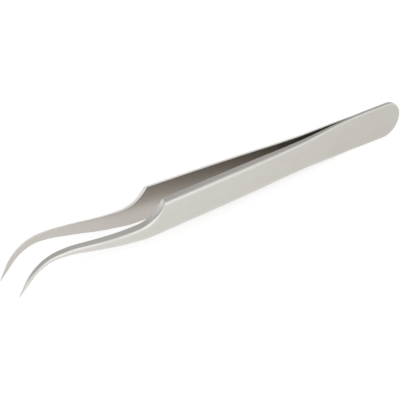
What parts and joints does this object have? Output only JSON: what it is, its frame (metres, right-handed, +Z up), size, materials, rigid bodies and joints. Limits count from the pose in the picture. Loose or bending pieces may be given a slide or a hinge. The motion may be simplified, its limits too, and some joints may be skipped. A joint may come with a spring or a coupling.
{
  "type": "bent fine tweezers",
  "caption": "Curved fine-point tweezers with spring steel blades welded face to face at a rounded heel, scooped shoulders and slim hooked tips for lifting small delicate parts.",
  "frame": {"origin": "centre of the bounding box at floor level, with the tweezers standing on both points and on the lower round of the heel", "axes": "+X from the points towards the heel, +Z up, +Y from the front blade towards the rear blade"},
  "size_m": [0.1152, 0.0114, 0.0105],
  "materials": {
    "blade_steel": "satin stainless steel, finely ground along the edges and the scooped shoulders"
  },
  "bodies": {
    "root": {"front_blade": "blade_steel", "rear_blade": "blade_steel"}
  },
  "joints": []
}
